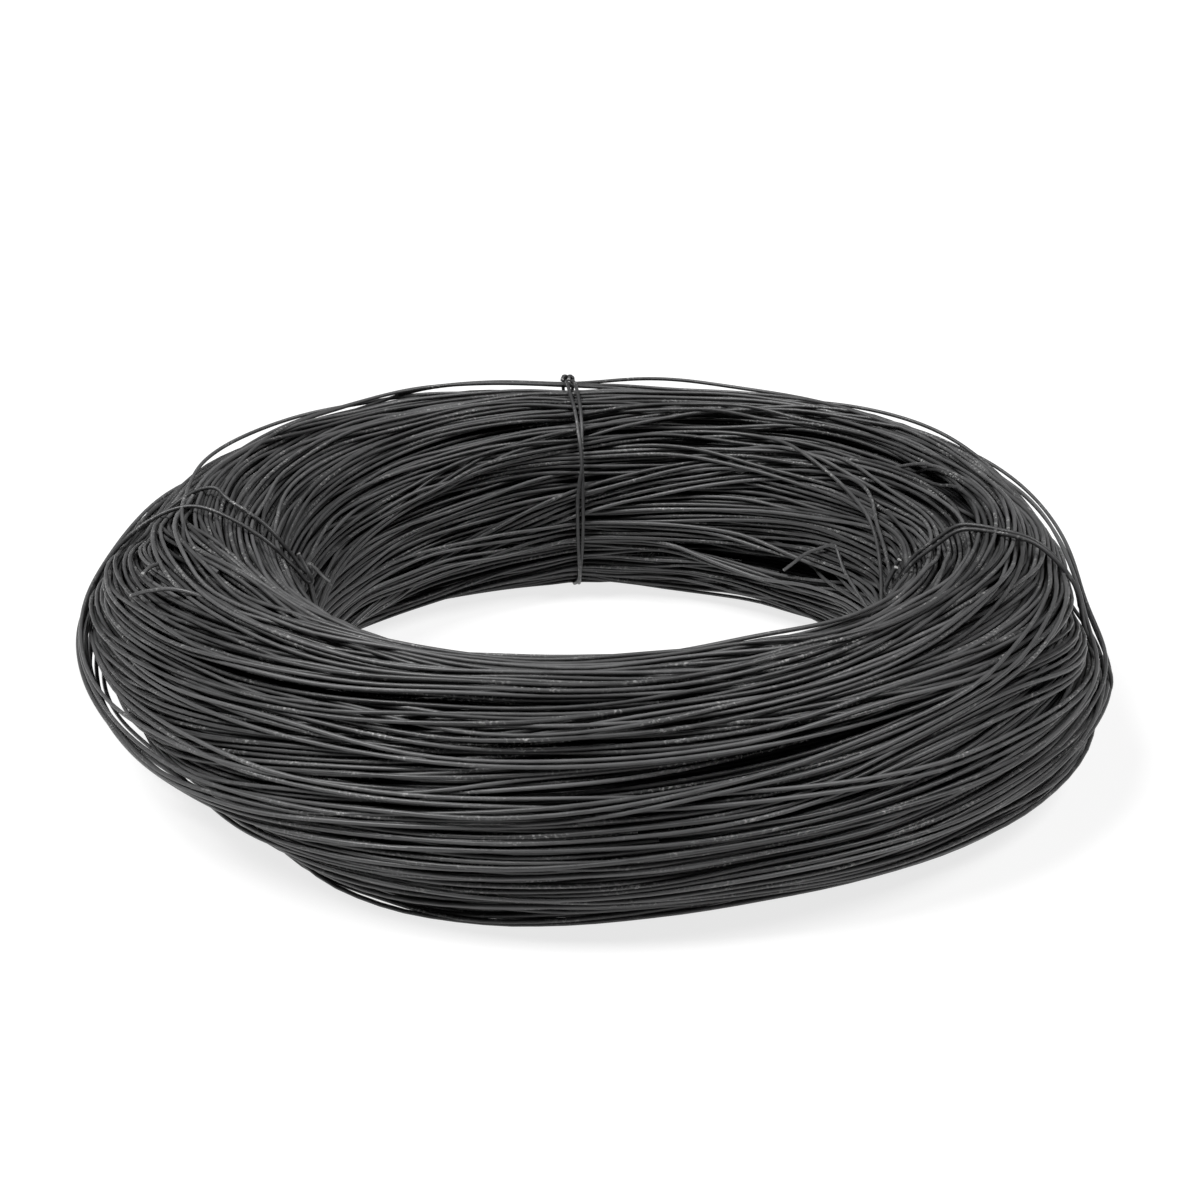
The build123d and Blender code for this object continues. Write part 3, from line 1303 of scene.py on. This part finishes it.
@dataclass
class ShaderBench:
    """Short ways of adding nodes to one shader tree, each of which gives the new node's output."""

    tree: bpy.types.NodeTree

    def feed(self, socket: bpy.types.NodeSocket, value: Feed) -> None:
        """Give an input a value, or link another node's output to it.

        Args:
            socket: The input.
            value: The value or the output.
        """
        if isinstance(value, bpy.types.NodeSocket):
            self.tree.links.new(value, socket)
        else:
            socket.default_value = value

    def add(self, kind: str, values: dict[str | int, Feed], output: str | int = 0) -> bpy.types.NodeSocket:
        """Add a node.

        Args:
            kind: Kind of the node.
            values: What its inputs get, by name or by number.
            output: Name or number of the output that is wanted.

        Returns:
            The output.
        """
        node = self.tree.nodes.new(kind)
        for name, value in values.items():
            self.feed(node.inputs[name], value)
        return node.outputs[output]

    def attribute(self, name: str) -> bpy.types.NodeSocket:
        """Read a value that the mesh keeps.

        Args:
            name: Name of the attribute.

        Returns:
            The value.
        """
        node = self.tree.nodes.new("ShaderNodeAttribute")
        node.attribute_name = name
        return node.outputs["Fac"]

    def place(self) -> bpy.types.NodeSocket:
        """Read the place on the object."""
        return self.add("ShaderNodeTexCoord", {}, "Object")

    def join(self, operation: str, *values: Feed) -> bpy.types.NodeSocket:
        """Join values by a sum.

        Args:
            operation: Kind of the sum.
            values: What is joined.

        Returns:
            The result.
        """
        node = self.tree.nodes.new("ShaderNodeMath")
        node.operation = operation
        for socket, value in zip(node.inputs, values):
            self.feed(socket, value)
        return node.outputs[0]

    def noise(self, where: bpy.types.NodeSocket, scale: float, detail: float) -> bpy.types.NodeSocket:
        """Read a noise at a place."""
        return self.add("ShaderNodeTexNoise", {"Vector": where, "Scale": scale, "Detail": detail}, "Fac")

    def stretch(self, value: bpy.types.NodeSocket, limits: tuple[float, float]) -> bpy.types.NodeSocket:
        """Stretch a value so that the lower limit gives 0 and the upper one gives 1."""
        return self.add("ShaderNodeMapRange", {"Value": value, "From Min": limits[0], "From Max": limits[1]})

    def mix(self, share: bpy.types.NodeSocket, first: Feed, second: Feed) -> bpy.types.NodeSocket:
        """Mix two colours.

        Args:
            share: Share of the second colour.
            first: The first colour.
            second: The second colour.

        Returns:
            The mixed colour.
        """
        node = self.tree.nodes.new("ShaderNodeMix")
        node.data_type = "RGBA"
        for name, value in (("Factor", share), ("A", first), ("B", second)):
            self.feed(node.inputs[name], value)
        return node.outputs["Result"]

    def bump(self, height: bpy.types.NodeSocket, relief: float) -> bpy.types.NodeSocket:
        """Turn a height into a normal, where the relief is the depth in metres of a height of 1."""
        return self.add("ShaderNodeBump", {"Height": height, "Distance": relief}, "Normal")

    def seen(self) -> bpy.types.NodeSocket:
        """Tell whether the camera sees a thing, straight or through a reflection.

        Returns:
            1 where it does, and 0 where light comes to it otherwise.
        """
        path = self.tree.nodes.new("ShaderNodeLightPath").outputs
        straight = self.join("MAXIMUM", path["Is Camera Ray"], path["Is Glossy Ray"])
        return self.join("MAXIMUM", straight, path["Is Transmission Ray"])


def new_material(name: str) -> bpy.types.Material:
    """Make a material that has nodes.

    Args:
        name: Its name.

    Returns:
        The material.
    """
    material = bpy.data.materials.new(name)
    material.use_nodes = True
    return material


@dataclass(frozen=True)
class OxideWear:
    """Shader group that mottles and rubs the oxide along each wire, and paints shade on its deeper parts.

    Scales are in waves a metre. Limits are the noise at which a mark starts and that at which it is full.
    """

    name: str = "oxide_wear"
    streak_scale: float = 42.0
    streak_detail: float = 2.0
    streak_limits: tuple[float, float] = (0.53, 0.67)
    grain_scale: float = 900.0
    grain_detail: float = 2.0
    grain_limits: tuple[float, float] = (0.52, 0.68)
    patch_scale: float = 130.0
    patch_detail: float = 3.0
    cut_limits: tuple[float, float] = (0.5, 0.8)
    middle: float = 0.5
    uneven_roughness: float = 0.3
    rubbed_smoothness: float = 0.1

    def build(self) -> bpy.types.NodeTree:
        """Build the group.

        Returns:
            The group, with the colour, the roughness and the height of the surface.
        """
        tree = bpy.data.node_groups.new(self.name, "ShaderNodeTree")
        colours = ("Oxide", "Rubbed Steel")
        levels = ("Tone Spread", "Mottle", "Rub", "Deep Shade", "Roughness")
        add_sockets(tree, "INPUT", dict.fromkeys(colours, "Color") | dict.fromkeys(levels, "Float"))
        add_sockets(tree, "OUTPUT", {"Color": "Color", "Roughness": "Float", "Height": "Float"})
        given = tree.nodes.new("NodeGroupInput").outputs
        made = tree.nodes.new("NodeGroupOutput").inputs
        bench = ShaderBench(tree)
        tone = bench.attribute("tone")
        along = bench.add("ShaderNodeCombineXYZ", {"X": bench.attribute("run"), "Y": tone})
        streak = bench.noise(along, self.streak_scale, self.streak_detail)
        grain = bench.noise(bench.place(), self.grain_scale, self.grain_detail)
        patches = bench.noise(bench.place(), self.patch_scale, self.patch_detail)
        rubbed = bench.join(
            "MULTIPLY", bench.stretch(streak, self.streak_limits), bench.stretch(grain, self.grain_limits)
        )
        cut = bench.stretch(bench.attribute("cut"), self.cut_limits)
        mask = bench.join("MAXIMUM", bench.join("MULTIPLY", rubbed, given["Rub"]), cut)
        level = bench.join("MULTIPLY", bench.join("SUBTRACT", tone, self.middle), given["Tone Spread"])
        mottle = bench.join("MULTIPLY", bench.join("SUBTRACT", patches, self.middle), given["Mottle"])
        # Painted shade: the colour is darkened where the wire lies deep in the pile
        painted_shade = bench.join("MULTIPLY", bench.attribute("depth"), given["Deep Shade"])
        marked = bench.join("ADD", bench.join("ADD", level, mottle), 1.0)
        lit = bench.join("MULTIPLY", marked, bench.join("SUBTRACT", 1.0, painted_shade))
        tint = tree.nodes.new("ShaderNodeVectorMath")
        tint.operation = "SCALE"
        bench.feed(tint.inputs[0], given["Oxide"])
        bench.feed(tint.inputs["Scale"], lit)
        bench.feed(made["Color"], bench.mix(mask, tint.outputs["Vector"], given["Rubbed Steel"]))
        uneven = bench.join("MULTIPLY", bench.join("SUBTRACT", patches, self.middle), self.uneven_roughness)
        rough = bench.join("ADD", given["Roughness"], uneven)
        smoother = bench.join("MULTIPLY", mask, self.rubbed_smoothness)
        bench.feed(made["Roughness"], bench.join("SUBTRACT", rough, smoother))
        bench.feed(made["Height"], grain)
        return tree


@dataclass(frozen=True)
class WireFinish:
    """Black annealed oxide on round wire: nearly matt, mottled, with rubbed spots, and painted shade where it
    lies deep.
    """

    name: str
    shade: tuple[float, float, float] = (0.082, 0.082, 0.083)
    rubbed: tuple[float, float, float] = (0.36, 0.36, 0.355)
    tone_spread: float = 0.9
    mottle: float = 0.55
    rub: float = 1.0
    # Share by which the painted shade darkens the deepest wires
    deep: float = 0.95
    roughness: float = 0.42
    relief: float = 0.00006

    def build(self, wear: bpy.types.NodeTree) -> bpy.types.Material:
        """Make the material from the shared wear group.

        Args:
            wear: The group.

        Returns:
            The material.
        """
        material = new_material(self.name)
        bench = ShaderBench(material.node_tree)
        group = bench.tree.nodes.new("ShaderNodeGroup")
        group.node_tree = wear
        values = {
            "Oxide": (*self.shade, 1),
            "Rubbed Steel": (*self.rubbed, 1),
            "Tone Spread": self.tone_spread,
            "Mottle": self.mottle,
            "Rub": self.rub,
            "Deep Shade": self.deep,
            "Roughness": self.roughness,
        }
        for name, value in values.items():
            group.inputs[name].default_value = value
        shader = bench.tree.nodes["Principled BSDF"]
        bench.feed(shader.inputs["Base Color"], group.outputs["Color"])
        bench.feed(shader.inputs["Roughness"], group.outputs["Roughness"])
        bench.feed(shader.inputs["Normal"], bench.bump(group.outputs["Height"], self.relief))
        return material


@dataclass(frozen=True)
class PackedShadeFinish:
    """Turns deep in the coil, drawn as lines of wires that run with the twist, in painted shade: far darker
    than the wire, and near black between the drawn wires.
    """

    # Painted shade: the turns' colour is far darker than the wire's own, and near black between the drawn
    # wires
    name: str = "packed turns"
    shade: tuple[float, float, float] = (0.02, 0.02, 0.021)
    between: tuple[float, float, float] = (0.002, 0.002, 0.002)
    pitch: float = 1.7
    sway: float = 2.6
    sway_scale: float = 14.0
    sway_detail: float = 2.0
    roughness: float = 0.8
    specular: float = 0.15
    relief: float = 0.0006

    def build(self) -> bpy.types.Material:
        """Make the material.

        Returns:
            The material.
        """
        material = new_material(self.name)
        bench = ShaderBench(material.node_tree)
        swayed = bench.noise(bench.place(), self.sway_scale, self.sway_detail)
        moved = bench.join("MULTIPLY_ADD", swayed, self.sway, bench.attribute("across"))
        turn = bench.join("MULTIPLY", moved, math.pi / self.pitch)
        crest = bench.join("ABSOLUTE", bench.join("SINE", turn))
        shader = bench.tree.nodes["Principled BSDF"]
        # Painted shade: the drawn wires fade to near black between them
        bench.feed(shader.inputs["Base Color"], bench.mix(crest, (*self.between, 1), (*self.shade, 1)))
        bench.feed(shader.inputs["Normal"], bench.bump(crest, self.relief))
        bench.feed(shader.inputs["Roughness"], self.roughness)
        bench.feed(shader.inputs["Specular IOR Level"], self.specular)
        return material


COIL_FINISH = WireFinish("black annealed wire")
TIE_FINISH = WireFinish("tie wire", shade=(0.05, 0.05, 0.051))


@dataclass(frozen=True)
class Studio:
    """Pale floor and backdrop, soft light and the camera at the photograph's viewing angle."""

    floor_size: float = 8.0
    floor_bounce: float = 0.4
    floor_glow: float = 0.78
    floor_shade: float = 0.28
    ambient: float = 0.04
    lamp_spread: float = 26.0
    left_strength: float = 3.0
    left_place: tuple[float, float, float] = (-0.6, -0.15, 1.0)
    right_strength: float = 1.8
    right_place: tuple[float, float, float] = (0.6, -0.15, 1.0)
    lens: float = 75.0
    sensor: float = 36.0
    eye_place: tuple[float, float, float] = (0.00144, -0.91478, 0.41594)
    eye_pitch: float = 22.0

    @staticmethod
    def grey(level: float) -> tuple[float, float, float, float]:
        """Give a grey as a colour."""
        return (level, level, level, 1.0)

    def floor_finish(self) -> bpy.types.Material:
        """Make the floor's material, which is white to the camera and throws little light back.

        Returns:
            The material.
        """
        material = new_material("white studio floor")
        bench = ShaderBench(material.node_tree)
        bench.tree.nodes.remove(bench.tree.nodes["Principled BSDF"])
        plain = bench.add("ShaderNodeBsdfDiffuse", {"Color": self.grey(self.floor_bounce)})
        shade = bench.add("ShaderNodeBsdfDiffuse", {"Color": self.grey(self.floor_shade)})
        glow = bench.add("ShaderNodeEmission", {"Strength": self.floor_glow})
        both = bench.add("ShaderNodeAddShader", {0: shade, 1: glow})
        mixed = bench.add("ShaderNodeMixShader", {0: bench.seen(), 1: plain, 2: both})
        bench.feed(bench.tree.nodes["Material Output"].inputs["Surface"], mixed)
        return material

    def build_floor(self) -> None:
        """Make the floor, which stays white in the picture and keeps the object's shadow."""
        size = self.floor_size
        mesh = bpy.data.meshes.new("floor")
        mesh.from_pydata([(-size, -size, 0), (size, -size, 0), (size, size, 0), (-size, size, 0)], [],
                         [(0, 1, 2, 3)])
        floor = new_object("floor", mesh)
        mesh.materials.append(self.floor_finish())

    def build_world(self) -> None:
        """Make the soft surroundings, which are white in the picture."""
        world = bpy.data.worlds.new("studio")
        bpy.context.scene.world = world
        world.use_nodes = True
        bench = ShaderBench(world.node_tree)
        soft = bench.tree.nodes["Background"]
        bench.feed(soft.inputs["Color"], self.grey(1.0))
        bench.feed(soft.inputs["Strength"], self.ambient)
        white = bench.add("ShaderNodeBackground", {"Color": self.grey(1.0)})
        camera_ray = bench.add("ShaderNodeLightPath", {}, "Is Camera Ray")
        mixed = bench.add("ShaderNodeMixShader", {0: camera_ray, 1: soft.outputs[0], 2: white})
        bench.feed(bench.tree.nodes["World Output"].inputs["Surface"], mixed)

    def build_lamp(self, name: str, strength: float, place: tuple[float, float, float]) -> None:
        """Hang one of the broad soft lamps.

        Args:
            name: Name of the lamp.
            strength: Its strength.
            place: Where it hangs. It points at the coil.
        """
        light = bpy.data.lights.new(name, "SUN")
        light.energy = strength
        light.angle = math.radians(self.lamp_spread)
        lamp = new_object(name, light)
        lamp.location = place
        lamp.rotation_euler = (-Vector(place)).to_track_quat("-Z", "Y").to_euler()

    def build_camera(self) -> None:
        """Set the camera up."""
        camera = bpy.data.cameras.new("camera")
        camera.lens = self.lens
        camera.sensor_width = self.sensor
        eye = new_object("camera", camera)
        eye.location = self.eye_place
        eye.rotation_euler = (math.radians(RIGHT_ANGLE - self.eye_pitch), 0, 0)
        bpy.context.scene.camera = eye

    def build(self) -> None:
        """Make the whole studio."""
        bpy.context.scene.view_settings.view_transform = "Standard"
        self.build_floor()
        self.build_world()
        self.build_lamp("left_lamp", self.left_strength, self.left_place)
        self.build_lamp("right_lamp", self.right_strength, self.right_place)
        self.build_camera()


def report(piece: bpy.types.Object) -> None:
    """Log a piece and its count of triangles."""
    log.info("%s: %d triangles", piece.name, sum(len(face.vertices) - 2 for face in piece.data.polygons))


def main() -> None:
    """Build everything and report each piece."""
    logging.basicConfig(level=logging.INFO, format="%(name)s: %(message)s")
    tubes = TubeTree()
    wear = OxideWear().build()
    wire = COIL_FINISH.build(wear)
    # Painted shade for the sheet of packed turns deep in the coil
    packed = PackedShadeFinish().build()
    tie = TIE_FINISH.build(wear)
    turns = WireTurns()
    for piece in [*turns.build(tubes, wire), turns.build_core(packed)]:
        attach(piece, BODY)
        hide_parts("wire_coil")
        report(piece)
    for made in TIES:
        piece = made.build(turns, tubes, tie)
        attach(piece, BODY)
        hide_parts(made.name)
        report(piece)
    Studio().build()


if __name__ == "__main__":
    main()
